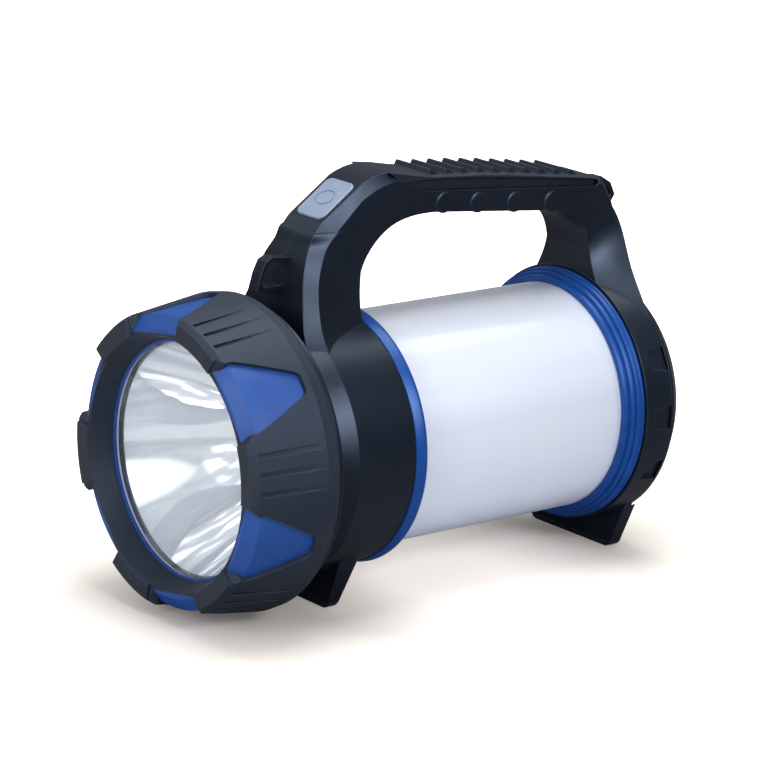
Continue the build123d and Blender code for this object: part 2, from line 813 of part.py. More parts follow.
def make_carrier():
    """Two round plates joined by a three-armed spine between the cells."""
    front = cell_front - contact_thickness - carrier_plate
    back = cell_front + cell_length + cell_nub + contact_thickness
    frame = disc(front, front + carrier_plate, carrier_radius)
    frame = frame + disc(back, back + carrier_plate, carrier_radius)
    frame = frame + disc(front, back, carrier_arm)
    length = back - front
    for angle in cell_angles():
        start = carrier_radius - carrier_arm_length
        centre = (start + carrier_arm_length / 2, front + length / 2, 0)
        arm = Location(centre) * Box(carrier_arm_length, length, carrier_arm)
        frame = frame + about_axis(arm, angle + half_turn)
    return frame & disc(front, back + carrier_plate, carrier_radius)


def make_cells():
    """Three large round cells with their end nubs."""
    cells = []
    for angle in cell_angles():
        centre = (cell_ring_radius, cell_front + cell_length / 2, 0)
        can = Location(centre) * Rotation(90, 0, 0) * Cylinder(cell_radius, cell_length)
        nub_centre = (cell_ring_radius, cell_front + cell_length + cell_nub / 2, 0)
        nub = Location(nub_centre) * Rotation(90, 0, 0) * Cylinder(cell_nub_radius, cell_nub)
        cells.append(about_axis(can + nub, angle))
    return Compound(cells)


def make_carrier_contacts():
    """Metal contact discs at both ends of the cells."""
    discs = []
    front = cell_front - contact_thickness / 2
    back = cell_front + cell_length + cell_nub + contact_thickness / 2
    for angle in cell_angles():
        for along in (front, back):
            place = Location((cell_ring_radius, along, 0)) * Rotation(90, 0, 0)
            discs.append(about_axis(place * Cylinder(contact_radius, contact_thickness), angle))
    return Compound(discs)


def make_end_cap():
    """Back cap: shallow dome, skirt inside the back collar and three finger pockets."""
    bore = cap_skirt_radius - cap_skirt_wall
    points = [(cap_skirt_front, bore), (cap_skirt_front, cap_skirt_radius), (cap_flange_front, cap_skirt_radius)]
    points += list(cap_outer) + [(cap_back, 0), (cap_floor, 0), (cap_floor, cap_floor_radius), (cap_corner, bore)]
    cap = turned(points)
    step = full_turn / cap_grip_count
    tools = []
    for index in range(cap_grip_count):
        place = Location((cap_outer[3][1] - cap_grip_radius, cap_back + cap_grip_radius - cap_grip_depth, 0))
        tools.append(about_axis(place * Sphere(cap_grip_radius), step * index + step / 4))
    return cut_all(cap, tools)


def make_cap_contact():
    """Spring contacts on a round board inside the cap."""
    back = cap_floor
    board = disc(back - board_thickness, back, cap_contact_radius)
    front = cell_front + cell_length + cell_nub + contact_thickness + carrier_plate
    springs = []
    for index in range(cell_count - 1):
        angle = half_turn * index
        gap = back - board_thickness - front
        centre = (cell_ring_radius, front + gap / 2, 0)
        post = Location(centre) * Rotation(90, 0, 0) * Cylinder(cap_spring_radius, gap)
        hollow = Location(centre) * Rotation(90, 0, 0) * Cylinder(cap_spring_radius - cap_spring_wire, gap * 2)
        springs.append(about_axis(post - hollow, angle))
    return join_all([board] + springs)


def make_cap_seal():
    """Seal ring between the back collar and the cap."""
    return tube(seam_along - seal_depth + seat_gap, cap_flange_front, seal_bore - running_gap,
                cap_skirt_radius + running_gap)


def make_button():
    """Light button with a flange under the panel, a stem and an oval line on top."""
    top = button_block(0, 0, button_depth)
    plane = button_plane()
    upper_edges = [edge for edge in top.edges() if abs(plane.to_local_coords(edge.center()).Z) < seat_gap]
    top = fillet(ShapeList(upper_edges), radius=button_round)
    flange_top = button_proud + panel_wall + seat_gap
    flange = button_block(button_flange, flange_top, flange_top + button_flange_thickness)
    stem_front = flange_top + button_flange_thickness
    stem = extrude(button_plane().offset(-stem_front - button_travel) * Circle(button_stem), amount=button_travel)
    oval = Ellipse(*button_mark_half) - Ellipse(*(size - button_mark_width for size in button_mark_half))
    mark = extrude(button_plane().offset(-button_mark_depth) * oval, amount=button_mark_depth * 2)
    return top + flange + stem - mark


def switch_top_depth():
    """Depth of the switch plunger's top below the button's top."""
    return button_proud + panel_wall + seat_gap + button_flange_thickness + button_travel * 2 + seat_gap


def make_switch():
    """Square push switch with a round plunger."""
    top = switch_top_depth()
    plunger = extrude(button_plane().offset(-top - button_travel) * Circle(switch_plunger), amount=button_travel)
    base = button_plane().offset(-top - button_travel - switch_height)
    body = extrude(base * Rectangle(switch_size, switch_size), amount=switch_height)
    return plunger + body


def make_control_board():
    """Circuit board under the switch."""
    depth = switch_top_depth() + button_travel + switch_height
    base = button_plane().offset(-depth - board_thickness)
    return extrude(base * Rectangle(board_width, board_length), amount=board_thickness)


def make_case_screws():
    """Round-head screws that hold the two halves."""
    screws = []
    for along, up in screw_places:
        head_centre = (-screw_sink_half - screw_head / 2, along, up)
        head = Location(head_centre) * Rotation(0, 90, 0) * Cylinder(screw_head_radius, screw_head)
        head = fillet(head.edges().group_by(Axis.X)[0], radius=screw_head / 3)
        socket_centre = (-screw_sink_half - screw_head + screw_socket_depth / 2, along, up)
        recess = extrude(RegularPolygon(screw_socket, lug_count), amount=screw_socket_depth, both=True)
        socket = Location(socket_centre) * Rotation(0, 90, 0) * recess
        shank_centre = (-screw_sink_half + screw_shank / 2, along, up)
        shank = Location(shank_centre) * Rotation(0, 90, 0) * Cylinder(screw_shank_radius, screw_shank)
        screws.append(head + shank - socket)
    return Compound(screws)


def write_part(name, shape):
    """Move a piece onto the ground frame and write it."""
    placed = Location((0, -middle_along, axis_height)) * shape
    export_step(placed, f"parts/{name}.step")


def main():
    """Make and write every piece."""
    block = housing_block()
    pieces = {
        "housing_left": housing_half(block, -1),
        "housing_right": housing_half(block, 1),
        "foot_pads": make_foot_pads(),
        "grip_insert": make_grip_insert(),
        "front_strap_loop": make_loop(front_loop_outer, front_loop_hole),
        "rear_strap_loop": make_loop(rear_loop_outer, rear_loop_hole),
        "case_screws": make_case_screws(),
        "head_frame": make_head_frame(),
        "reflector": make_reflector(),
        "lamp_emitter": make_emitter(),
        "lamp_board": make_lamp_board(),
        "heat_sink": make_heat_sink(),
        "front_bulkhead": make_front_bulkhead(),
        "back_bulkhead": make_back_bulkhead(),
        "front_ring": make_front_ring(),
        "back_ring": make_back_ring(),
        "diffuser": make_diffuser(),
        "core_column": make_core_column(),
        "strip_boards": make_strip_boards(),
        "strip_chips": make_strip_chips(),
        "battery_carrier": make_carrier(),
        "battery_cells": make_cells(),
        "carrier_contacts": make_carrier_contacts(),
        "control_board": make_control_board(),
        "switch": make_switch(),
        "button_cap": make_button(),
        "bezel_overmould": make_bezel_overmould(),
        "bezel_inner": make_bezel_inner(),
        "bezel_washer": make_bezel_washer(),
        "lens": make_lens(),
        "lens_gasket": make_lens_gasket(),
        "end_cap": make_end_cap(),
        "cap_contact": make_cap_contact(),
        "cap_seal": make_cap_seal(),
    }
    for name, shape in pieces.items():
        write_part(name, shape)


main()
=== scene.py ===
import math

import bmesh
import bpy
from mathutils import Matrix, Vector


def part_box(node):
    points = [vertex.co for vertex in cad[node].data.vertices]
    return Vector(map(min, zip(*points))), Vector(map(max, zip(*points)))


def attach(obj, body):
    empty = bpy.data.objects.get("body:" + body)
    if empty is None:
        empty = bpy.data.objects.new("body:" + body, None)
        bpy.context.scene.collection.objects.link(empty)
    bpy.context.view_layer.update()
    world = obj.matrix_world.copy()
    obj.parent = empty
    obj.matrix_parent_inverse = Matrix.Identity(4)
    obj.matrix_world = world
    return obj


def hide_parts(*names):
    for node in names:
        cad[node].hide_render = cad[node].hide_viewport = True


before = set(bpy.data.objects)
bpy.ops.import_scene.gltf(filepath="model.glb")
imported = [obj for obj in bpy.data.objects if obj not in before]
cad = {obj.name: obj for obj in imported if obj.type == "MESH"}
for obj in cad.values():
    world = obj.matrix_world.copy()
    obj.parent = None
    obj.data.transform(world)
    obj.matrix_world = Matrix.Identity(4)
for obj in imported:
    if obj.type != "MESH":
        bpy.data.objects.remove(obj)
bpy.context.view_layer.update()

# Camera: stands beside the lamp and in front of it, and a little above. Its angles, in
# degrees, go round the lamp from +X, up from the table, and round the line of sight.

camera_place = (1.1513, -0.9498, 0.4954)
camera_azimuth = -39.348
camera_elevation = 15.375
camera_roll = 2.282
lens_mm = 168.16
sensor_mm = 36.0
camera_reach = 20.0

camera = bpy.data.objects.new("camera", bpy.data.cameras.new("camera"))
bpy.context.scene.collection.objects.link(camera)
camera.data.lens = lens_mm
camera.data.sensor_width = sensor_mm
camera.data.clip_end = camera_reach
heading = Matrix.Rotation(math.radians(90.0 + camera_azimuth), 4, "Z")
tilt = Matrix.Rotation(math.radians(90.0 - camera_elevation), 4, "X")
roll = Matrix.Rotation(math.radians(camera_roll), 4, "Z")
camera.matrix_world = Matrix.Translation(camera_place) @ heading @ tilt @ roll
bpy.context.scene.camera = camera
bpy.context.scene.view_settings.view_transform = "Standard"

# Table: a wide white sheet that the lamp stands on. Its own glow, which is seen but lights
# nothing, keeps it white away from the lamp. Near the lamp the glow is weak, which paints the
# fade of the shadow round its footprint, and under the milky tube it paints a pool of light.
# The warm tints of the sheet and its glow show mainly in the shade and paint it brownish.
# Shiny pieces see the sheet dimmer than it is, a painted darkening of its reflection. The apron
# is the part in front of the lamp that shiny pieces see bright, a painted reflection.

table_side = 12.0
# The warm tints of the sheet and its glow show mainly in the shade, which they paint brownish.
table_white = (0.90, 0.83, 0.765)
table_bounce = (0.74, 0.75, 0.79)
table_mirrored = (0.27, 0.265, 0.26)
glow_tint = (1.0, 0.91, 0.83, 1.0)
footprint_stretch = (1.7, 1.0, 1.0)
# Painted shadow: the glow seen by the camera rises from its first level to its second between these
# distances from the lamp's footprint, so the sheet stays darker near the lamp.
shadow_reach = (0.11, 0.38)
shadow_glow = (0.10, 1.4)
# Painted pool of light under the milky tube: its centre's shift, the radii where it fades out, and its glow
# inside and outside.
tube_shift = (-0.02, -0.02, 0.0)
tube_reach = (0.03, 0.085)
tube_painted_light = (0.42, 0.0)
apron_start = (-0.13, -0.17)
apron_reach = (0.95, 0.85)
apron_glow = (0.0, 0.75)


class Signal:
    """One number running through a material's nodes, so that a mask is written as a sum."""

    def __init__(self, finish, socket):
        self.finish = finish
        self.socket = socket

    def _maths(self, operation, first, second):
        return self.finish.node("Math", {"operation": operation}, {0: first, 1: second})

    def __add__(self, other):
        return self._maths("ADD", self, other)

    def __radd__(self, other):
        return self._maths("ADD", other, self)

    def __sub__(self, other):
        return self._maths("SUBTRACT", self, other)

    def __rsub__(self, other):
        return self._maths("SUBTRACT", other, self)

    def __mul__(self, other):
        return self._maths("MULTIPLY", self, other)

    def __rmul__(self, other):
        return self._maths("MULTIPLY", other, self)

    def __abs__(self):
        return self._maths("ABSOLUTE", self, 0.0)


class Finish:
    """A material while its nodes are being laid."""

    def __init__(self, name, tree=None):
        if tree is None:
            self.material = bpy.data.materials.new(name)
            self.material.use_nodes = True
            tree = self.material.node_tree
        self.tree = tree
        tree.nodes.clear()
        self.place = None

    def node(self, kind, settings=None, inputs=None, output=0):
        """Any node: its settings first, then the values or links of its sockets."""
        made = self.tree.nodes.new("ShaderNode" + kind)
        for name, value in (settings or {}).items():
            setattr(made, name, value)
        for name, value in (inputs or {}).items():
            if isinstance(value, Signal):
                self.tree.links.new(value.socket, made.inputs[name])
            elif value is not None:
                made.inputs[name].default_value = value
        return Signal(self, made.outputs[output]) if made.outputs else None

    def where(self, stretch=(1.0, 1.0, 1.0), shift=(0.0, 0.0, 0.0)):
        """Place on the piece in metres, stretched and then shifted for a pattern."""
        if self.place is None:
            self.place = self.node("TexCoord", output="Object")
        if (stretch, shift) == ((1.0, 1.0, 1.0), (0.0, 0.0, 0.0)):
            return self.place
        return self.node("Mapping", {}, {"Vector": self.place, "Location": shift, "Scale": stretch})

    def axes(self, vector):
        """The three parts of a vector."""
        return [self.node("SeparateXYZ", {}, {0: vector}, output=axis) for axis in range(3)]

    def length(self, vector):
        """Length of a vector."""
        return self.node("VectorMath", {"operation": "LENGTH"}, {0: vector}, output=1)

    def range(self, value, low, high, new_low=0.0, new_high=1.0):
        """Value moved from one range to another and held inside it."""
        return self.node("MapRange", {}, {
            "Value": value, "From Min": low, "From Max": high, "To Min": new_low, "To Max": new_high,
        })

    def blend(self, factor, first, second):
        """Colour between two colours."""
        colours = [part if isinstance(part, Signal) else (*part, 1.0) for part in (first, second)]
        return self.node("Mix", {"data_type": "RGBA"}, {0: factor, 6: colours[0], 7: colours[1]}, output=2)

    def rays(self):
        """1 for a ray from the camera, off a shiny piece and through a clear one, else 0."""
        kinds = ("Is Camera Ray", "Is Glossy Ray", "Is Transmission Ray")
        return [self.node("LightPath", output=kind) for kind in kinds]

    def close(self, shader):
        """Puts the shader on the material."""
        self.node("OutputMaterial", {}, {"Surface": shader})
        return self.material


sheet = Finish("table_white")
seen, mirrored, through = sheet.rays()
# Painted darkening of the sheet's reflection: shiny pieces see it dimmer than matt ones do.
unseen = sheet.blend(mirrored, table_bounce, table_mirrored)
paper = sheet.node("BsdfDiffuse", {}, {"Color": sheet.blend(seen, unseen, table_white)})
away = sheet.length(sheet.where(footprint_stretch))
under_tube = sheet.length(sheet.where(shift=tube_shift))
# Painted shadow fade: weak glow near the footprint, stronger away from it.
outer = sheet.range(away, *shadow_reach, *shadow_glow)
# Painted pool of light on the sheet under the milky tube.
inner = sheet.range(under_tube, *tube_reach, *tube_painted_light)
along_lamp = sheet.axes(sheet.where())[1]
# Apron: a glow seen only in reflections, a painted reflection of a bright sheet in front of the lamp.
apron = sheet.range(along_lamp, *apron_start) * sheet.range(away, *apron_reach, *apron_glow)
glow = (outer + inner) * (seen + through) + apron * mirrored
lift = sheet.node("Emission", {}, {"Color": glow_tint, "Strength": glow})
made = bmesh.new()
bmesh.ops.create_grid(made, x_segments=1, y_segments=1, size=table_side / 2)
mesh = bpy.data.meshes.new("table")
made.to_mesh(mesh)
made.free()
table = bpy.data.objects.new("table", mesh)
bpy.context.scene.collection.objects.link(table)
table.data.materials.append(sheet.close(sheet.node("AddShader", {}, {0: paper, 1: lift})))

# Air round the table: white to the camera and dim to matt pieces. Only shiny pieces see the
# studio's panels in it: a framed window in front of the lamp with one dark post, a panel
# beside the lamp and one above its back.

air_tint = (0.97, 0.985, 1.0, 1.0)
floor_level = 0.08
sky_level = 0.42
sky_top = 0.85
window_level = 1.9
window_dim = 0.30
window_edge = (-0.50, -0.53)
window_foot = (0.06, 0.08)
window_front = (-0.1, -0.5)
window_side = (-0.65, -0.45)
post_place = 0.22
post_half_width = (0.03, 0.05)
frame_scale = 5.0
frame_detail = 1.0
frame_edge = (0.44, 0.54)
frame_level = (0.25, 1.25)
side_panel = (0.85, -0.03, 0.525)
side_edge = (0.89, 0.97)
side_level = 7.5
back_panel = (-0.20, 0.45, 0.87)
back_edge = (0.935, 0.955)
back_level = 3.5


def panel(air, direction, centre, edge):
    """Round light panel in the air, centred on a direction; edge is where it fades in."""
    toward = air.node("VectorMath", {"operation": "DOT_PRODUCT"}, {0: direction, 1: centre}, output=1)
    return air.range(toward, *edge)


world = bpy.data.worlds.new("daylight")
bpy.context.scene.world = world
world.use_nodes = True
air = Finish("daylight", world.node_tree)
direction = air.node("TexCoord", output="Generated")
across, ahead, upward = air.axes(direction)
seen, mirrored, through = air.rays()
pane = air.range(ahead, *window_edge) * air.range(upward, *window_foot)
pane = pane * air.range(abs(across - post_place), *post_half_width)
pattern = air.node("TexNoise", {}, {"Vector": direction, "Scale": frame_scale, "Detail": frame_detail})
frames = air.range(pattern, *frame_edge, *frame_level)
window = frames * (window_dim + pane) * air.range(ahead, *window_front) * air.range(across, *window_side)
panels = window_level * window + side_level * panel(air, direction, side_panel, side_edge)
panels = panels + back_level * panel(air, direction, back_panel, back_edge)
room = floor_level + sky_level * air.range(upward, 0.0, sky_top) + panels * mirrored
plain = air.node("Math", {"operation": "MAXIMUM"}, {0: seen, 1: through})
strength = plain + (1.0 - plain) * room
backdrop = air.node("Background", {}, {"Color": air_tint, "Strength": strength})
air.node("OutputWorld", {}, {"Surface": backdrop})

# Soft lamps: four cloth boxes on stands with daylight tubes in them, all turned towards the
# lamp on the table. Each row gives place, aim, width, height and watts.

daylight = (0.91, 0.955, 1.0)
soft_lamps = {
    "overhead": ((0.0, 0.08, 1.15), (0.0, 0.0, 0.08), 0.70, 0.60, 7.5),
    "right": ((1.12, -0.05, 0.74), (0.0, -0.03, 0.13), 0.60, 0.26, 5.4),
    "front": ((0.25, -1.35, 0.65), (0.0, -0.1, 0.08), 0.50, 0.50, 6.5),
    "left": ((-1.1, -0.3, 0.8), (0.0, 0.0, 0.08), 0.50, 0.50, 1.0),
}

for name, (place, aim, width, height, watts) in soft_lamps.items():
    light = bpy.data.lights.new(name, "AREA")
    light.shape = "RECTANGLE"
    light.size = width
    light.size_y = height
    light.energy = watts
    light.color = daylight
    stand = bpy.data.objects.new(name, light)
    bpy.context.scene.collection.objects.link(stand)
    stand.location = place
    stand.rotation_euler = (Vector(aim) - Vector(place)).to_track_quat("-Z", "Y").to_euler()

# Housing: two halves moulded in black plastic with a fine eroded skin, held together by
# screws from the far side, with the joint line in the middle plane. The strap loops, the
# head frame, the end cap and the switch are moulded in the same plastic.

body_black = (0.0038, 0.0060, 0.0110)
body_grey = (0.0062, 0.0092, 0.0160)
# Paler colour of the painted highlight along the edges.
body_edge_highlight = (0.030, 0.038, 0.054)
body_gleam = (0.60, 0.74, 1.0, 1.0)
body_cloud = 0.035
body_smear = 0.012
body_roughness = 0.27
skin_grain = 0.00032
skin_depth = 0.000018
edge_radius = 0.0006
edge_samples = 6
edge_turn = (0.01, 0.12)
joint_black = (0.006, 0.007, 0.009)
joint_floor = 0.000064
joint_half_width = 0.00016
joint_depth = 0.00015


class Skin(Finish):
    """Finish of one of the lamp's own pieces: its clouds, grain, relief and rounded edges."""

    def noise(self, size, detail, roughness=0.5, stretch=(1.0, 1.0, 1.0)):
        """Cloudy pattern whose lumps are about size metres across."""
        return self.node("TexNoise", {}, {
            "Vector": self.where(stretch), "Scale": 1.0 / size, "Detail": detail, "Roughness": roughness,
        })

    def grains(self, size):
        """Cell pattern for a spark-eroded mould skin; near 0 in a grain's middle."""
        return self.node("TexVoronoi", {}, {"Vector": self.where(), "Scale": 1.0 / size}, output="Distance")

    def mottled(self, cloud, dark, light, low=0.3, high=0.7):
        """Colour that drifts from dark to light while a cloudy pattern goes from low to high."""
        return self.blend(self.range(cloud, low, high), dark, light)

    def bump(self, height, depth, normal=None):
        """Surface relief; depth is in metres."""
        return self.node("Bump", {}, {"Height": height, "Distance": depth, "Normal": normal})

    def rounded(self):
        """Normals that round the sharp edges of a CAD piece."""
        return self.node("Bevel", {"samples": edge_samples}, {"Radius": edge_radius})

    def edges(self, rounded):
        """1 where a rounded edge turns away from its flat faces, 0 on the faces."""
        flat = self.node("NewGeometry", output="Normal")
        facing = self.node("VectorMath", {"operation": "DOT_PRODUCT"}, {0: rounded, 1: flat}, output=1)
        return self.range(1.0 - facing, *edge_turn)

    def surface(self, **values):
        """Closes the material with one surface shader."""
        sockets = {name.replace("_", " "): value for name, value in values.items()}
        return self.close(self.node("BsdfPrincipled", {}, sockets))


def paint(material, *names):
    """Gives CAD pieces that keep their own shape their finish."""
    for name in names:
        mesh = cad[name].data
        mesh.materials.clear()
        mesh.materials.append(material)


def black_plastic(name, joint=False):
    """Satin black plastic: eroded skin, painted edge highlight, and the housing's joint line."""
    finish = Skin(name)
    skin = finish.grains(skin_grain)
    rounded = finish.rounded()
    colour = finish.mottled(finish.noise(body_cloud, 3.0), body_black, body_grey)
    # Painted highlight: a paler colour along the rounded edges, where they would catch the light.
    colour = finish.blend(finish.edges(rounded), colour, body_edge_highlight)
    roughness = body_roughness + 0.10 * finish.noise(body_smear, 2.0) + 0.04 * skin
    relief = finish.bump(skin, skin_depth, rounded)
    if joint:
        beside = abs(finish.axes(finish.where())[0])
        line = finish.range(beside, joint_floor, joint_half_width)
        colour = finish.blend(line, joint_black, colour)
        relief = finish.bump(line, joint_depth, relief)
    return finish.surface(Base_Color=colour, Roughness=roughness, Specular_IOR_Level=0.34,
                          Specular_Tint=body_gleam, Normal=relief)


paint(black_plastic("black_plastic", joint=True), "housing_left", "housing_right")
paint(black_plastic("black_plastic_trim"),
      "front_strap_loop", "rear_strap_loop", "head_frame", "end_cap", "switch")

# Grip insert, foot pads and cap seal: soft black rubber with a dull, slightly dusty skin.
# The insert is moulded with its ribs and sits over the grip, the pads are under the feet,
# and the seal lies round the end cap.

rubber_black = (0.0068, 0.0092, 0.0155)
rubber_grey = (0.0108, 0.0142, 0.0220)
# Paler colour of the painted highlight along the rubber's edges.
rubber_edge_highlight = (0.028, 0.035, 0.048)
rubber_gleam = (0.62, 0.76, 1.0, 1.0)
rubber_cloud = 0.020
dust_size = 0.0012


def black_rubber(name, dark, light, edge_highlight, roughness, grain, depth):
    """Dull rubber with a grained skin and a painted highlight along its edges."""
    finish = Skin(name)
    dust = finish.noise(dust_size, 3.0)
    rounded = finish.rounded()
    colour = finish.mottled(finish.noise(rubber_cloud, 4.0, 0.6), dark, light)
    # Painted highlight: a paler colour along the rounded edges, where they would catch the light.
    colour = finish.blend(finish.edges(rounded), colour, edge_highlight)
    relief = finish.bump(0.7 * finish.grains(grain) + 0.3 * dust, depth, rounded)
    return finish.surface(Base_Color=colour, Roughness=roughness + 0.10 * dust, Specular_IOR_Level=0.28,
                          Specular_Tint=rubber_gleam, Normal=relief)


soft_black = black_rubber("black_rubber", rubber_black, rubber_grey, rubber_edge_highlight,
                          roughness=0.52, grain=0.0004, depth=0.00002)
paint(soft_black, "grip_insert", "foot_pads", "cap_seal")

# Bezel cover: softer charcoal rubber moulded over the blue ring, with the six lugs, their
# grooves and the windows. Its skin has a coarser grain than the grip's.

bezel_dark = (0.0140, 0.0182, 0.0270)
bezel_light = (0.0205, 0.0260, 0.0380)
# Paler colour of the painted highlight along the bezel's edges.
bezel_edge_highlight = (0.045, 0.053, 0.070)

charcoal = black_rubber("bezel_rubber", bezel_dark, bezel_light, bezel_edge_highlight,
                        roughness=0.50, grain=0.00055, depth=0.00003)
paint(charcoal, "bezel_overmould")

# Bezel's inner ring: dyed blue plastic, moulded first and seen through the six windows of
# the rubber cover, where its satin skin shows as fine grain.

blue_deep = (0.0030, 0.044, 0.23)
blue_bright = (0.0060, 0.070, 0.31)
blue_cloud = 0.018
blue_fleck = 0.0006
window_gleam = (1.0, 1.0, 1.0, 1.0)


def blue_plastic(name, grain, depth, roughness, gleam):
    """Dyed blue plastic; gleam tints its reflections."""
    finish = Skin(name)
    fleck = finish.noise(blue_fleck, 2.0)
    cloud = 0.6 * finish.noise(blue_cloud, 3.0) + 0.4 * fleck
    colour = finish.mottled(cloud, blue_deep, blue_bright, low=0.35, high=0.65)
    return finish.surface(Base_Color=colour, Roughness=roughness + 0.10 * fleck, Specular_IOR_Level=0.4,
                          Specular_Tint=gleam, Normal=finish.bump(finish.grains(grain), depth))


window_blue = blue_plastic("blue_window_plastic", grain=0.0007, depth=0.00004, roughness=0.42,
                           gleam=window_gleam)
paint(window_blue, "bezel_inner")

# Lantern rings: two rings moulded in the same blue plastic with rounded steps, which hold
# the milky tube to the collars. The back ring has three fine grooves round it. The points
# of their steps are (place along the ring, radius), from the ring's front.

ring_gleam = (0.6, 0.78, 1.0, 1.0)
turn_steps = 144
merge_gap = 0.000002
sharp_turn = math.radians(28.0)
ring_rounding = 0.00025
ring_inside = 0.0464
front_seat_place = 0.0025
back_seat_place = 0.0029
seat_clearance = 0.00007
mouth_clearance = 0.00012
tube_low, tube_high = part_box("diffuser")
axis_height = (tube_low[2] + tube_high[2]) / 2
tube_radius = tube_high[0]
seat_radius = tube_radius + seat_clearance
mouth_radius = tube_radius + mouth_clearance


def turned(name, outline, body, node, rounding=0.0):
    """Piece turned about the lamp's axis from a closed outline of (radius, along) points.

    It rides on a body and stands for a CAD node."""
    made = bmesh.new()
    points = [made.verts.new((radius, along, axis_height)) for radius, along in outline]
    edges = [made.edges.new((first, second)) for first, second in zip(points, points[1:] + points[:1])]
    bmesh.ops.spin(made, geom=points + edges, cent=(0.0, 0.0, axis_height), axis=(0.0, 1.0, 0.0),
                   angle=math.tau, steps=turn_steps, use_merge=True)
    bmesh.ops.remove_doubles(made, verts=made.verts, dist=merge_gap)
    bmesh.ops.recalc_face_normals(made, faces=made.faces)
    if rounding:
        sharp = [edge for edge in made.edges if edge.calc_face_angle(0.0) > sharp_turn]
        bmesh.ops.bevel(made, geom=sharp, offset=rounding, segments=3, profile=0.5, affect="EDGES",
                        material=-1)
    for face in made.faces:
        face.smooth = True
    for edge in made.edges:
        edge.smooth = edge.calc_face_angle(0.0) < sharp_turn
    mesh = bpy.data.meshes.new(name)
    made.to_mesh(mesh)
    made.free()
    piece = bpy.data.objects.new(name, mesh)
    bpy.context.scene.collection.objects.link(piece)
    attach(piece, body)
    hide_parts(node)
    return piece


front_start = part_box("front_ring")[0][1]
front_seat = front_start + front_seat_place
front_steps = [(0.0, 0.0556), (0.0041, 0.0566), (0.0054, 0.0562), (0.0059, 0.0528), (0.0069, 0.0524),
               (0.0069, mouth_radius)]
front_outline = [(radius, front_start + along) for along, radius in front_steps]
front_outline += [(seat_radius, front_seat), (ring_inside, front_seat), (ring_inside, front_start)]
front_ring = turned("front_ring_turned", front_outline, "housing", "front_ring", rounding=ring_rounding)

# Each row of grooves gives a start along the ring, the floor's width, and the radii before
# the groove, of its floor and after it.

groove_slope = 0.0002
grooves = [(0.0019, 0.0004, 0.0538, 0.0532, 0.0549),
           (0.0043, 0.0004, 0.0553, 0.0547, 0.0563),
           (0.0067, 0.0003, 0.0565, 0.0560, 0.0566)]
back_low, back_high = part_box("back_ring")
back_start = back_low[1]
back_end = back_high[1]
back_seat = back_start + back_seat_place
back_steps = [(0.0, mouth_radius), (0.0, 0.0534)]
for start, width, before, floor, after in grooves:
    floor_start = start + groove_slope
    floor_end = floor_start + width
    back_steps += [(start, before), (floor_start, floor)]
    back_steps += [(floor_end, floor), (floor_end + groove_slope, after)]
back_steps += [(0.0085, 0.0567), (0.0091, 0.0563)]
back_outline = [(radius, back_start + along) for along, radius in back_steps]
back_outline += [(ring_inside, back_end), (ring_inside, back_seat), (seat_radius, back_seat)]
back_ring = turned("back_ring_turned", back_outline, "housing", "back_ring", rounding=ring_rounding)

ring_blue = blue_plastic("blue_ring_plastic", grain=0.0004, depth=0.000012, roughness=0.30,
                         gleam=ring_gleam)
for ring in (front_ring, back_ring):
    ring.data.materials.append(ring_blue)

# Light button: one moulding in pale grey-blue plastic, a little glossy, with an oval line
# sunk in its top. It slides in its pocket and presses the switch under it.

button_pale = (0.27, 0.335, 0.44)
button_shade = (0.23, 0.29, 0.39)
button_cloud = 0.006
button_grain = 0.0003
button_depth = 0.00001

finish = Skin("button_plastic")
cloud = finish.noise(button_cloud, 3.0)
button_colour = finish.mottled(cloud, button_shade, button_pale)
paint(finish.surface(Base_Color=button_colour, Roughness=0.34 + 0.1 * cloud,
                     Normal=finish.bump(finish.grains(button_grain), button_depth)), "button_cap")

# Diffuser: milky acrylic tube, extruded and sawn to length, smooth outside, held between the
# two blue rings. Light spreads inside its wall.

milk = (0.795, 0.82, 0.915)
milk_warm = (0.77, 0.795, 0.90)
milk_reach = (0.01, 0.01, 0.012)
drawn_size = 0.012
drawn_stretch = (1.0, 0.08, 1.0)
drawn_depth = 0.00004
tube_wall = 0.0022
tube_rounding = 0.0004

tube_inside = tube_radius - tube_wall
tube_outline = [(tube_radius, tube_low[1]), (tube_radius, tube_high[1]),
                (tube_inside, tube_high[1]), (tube_inside, tube_low[1])]
tube = turned("lantern_tube", tube_outline, "housing", "diffuser", rounding=tube_rounding)
finish = Skin("milky_plastic")
drawn = finish.noise(drawn_size, 3.0, stretch=drawn_stretch)
tube.data.materials.append(finish.surface(
    Base_Color=finish.mottled(drawn, milk_warm, milk, low=0.35, high=0.65), Roughness=0.36 + 0.08 * drawn,
    Subsurface_Weight=0.25, Subsurface_Radius=milk_reach, Subsurface_Scale=0.4, Coat_Weight=0.35,
    Specular_IOR_Level=0.4, Normal=finish.bump(drawn, drawn_depth)))

# Reflector: deep plastic bowl plated with bright metal, smooth as a mirror, with a flat
# flange that the lens presses down and a hole at its bottom for the emitter.

plating_dark = (0.90, 0.91, 0.94)
plating_light = (0.95, 0.96, 0.98)
haze_size = 0.004
ripple_size = 0.030
ripple_depth = 0.00012
bowl_flange_width = 0.0092
bowl_flange = 0.0015
bowl_depth = 0.055
bowl_hole_radius = 0.0085
bowl_wall = 0.0012
bowl_steps = 48

bowl_low, bowl_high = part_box("reflector")
bowl_mouth = bowl_low[1]
flange_radius = bowl_high[0]
flange_back = bowl_mouth + bowl_flange
bowl_mouth_radius = flange_radius - bowl_flange_width


def bowl_along(radius):
    """Place of the mirror along the lamp at one radius; it is a parabola."""
    return bowl_mouth + bowl_depth * (1.0 - (radius / bowl_mouth_radius) ** 2)


